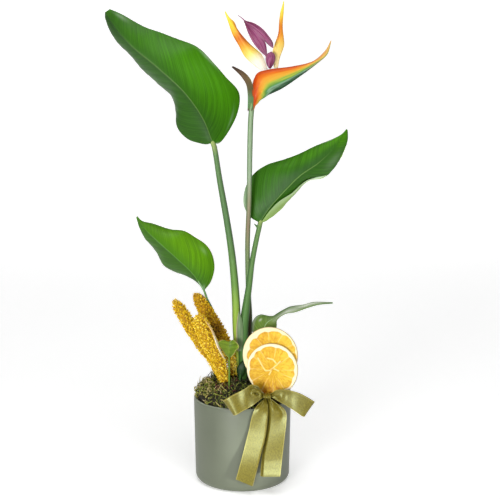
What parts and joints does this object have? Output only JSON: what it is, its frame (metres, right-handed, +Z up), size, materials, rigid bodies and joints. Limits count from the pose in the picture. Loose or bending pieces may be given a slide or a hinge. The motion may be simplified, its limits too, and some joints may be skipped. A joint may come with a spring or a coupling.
{
  "type": "potted bird of paradise",
  "caption": "Flowering bird of paradise in a cylindrical cover pot, dressed with golden foxtail heads, dried orange slices, moss and a satin ribbon bow.",
  "frame": {"origin": "centre of the pot's flat underside", "axes": "+Z up along the pot's axis, -Y towards the front with the bow, +X to the right as seen from the front"},
  "size_m": [0.3149, 0.1398, 0.6301],
  "materials": {
    "pot": "satin",
    "soil": "matte",
    "moss": "matte",
    "stalk": "satin",
    "flower_stalk": "satin",
    "leaf": "satin",
    "spathe": "satin",
    "bract": "satin",
    "sepal": "satin",
    "petal": "satin",
    "grain": "matte",
    "orange": "satin",
    "wood": "matte",
    "ribbon": "satin"
  },
  "bodies": {
    "root": {"pot": "pot", "soil": "soil", "moss": "moss", "large_leaf_stalk": "stalk", "right_leaf_stalk": "stalk", "small_leaf_stalk": "stalk", "twisted_leaf_stalk": "stalk", "front_leaf_stalk": "stalk", "foot_leaf_stalk": "stalk", "flower_stalk": "flower_stalk", "large_leaf_blade": "leaf", "right_leaf_blade": "leaf", "small_leaf_blade": "leaf", "twisted_leaf_blade": "leaf", "front_leaf_blade": "leaf", "foot_leaf_blade": "leaf", "spathe": "spathe", "bract": "bract", "sepal_left": "sepal", "sepal_right": "sepal", "short_petal": "petal", "arrow_petals": "petal", "foxtail_left": "grain", "foxtail_middle": "grain", "foxtail_back": "grain", "orange_slice_front": "orange", "orange_slice_back": "orange", "wooden_pick": "wood", "ribbon_loop_left": "ribbon", "ribbon_loop_right": "ribbon", "ribbon_tail_left": "ribbon", "ribbon_tail_right": "ribbon", "ribbon_knot": "ribbon"}
  },
  "joints": []
}
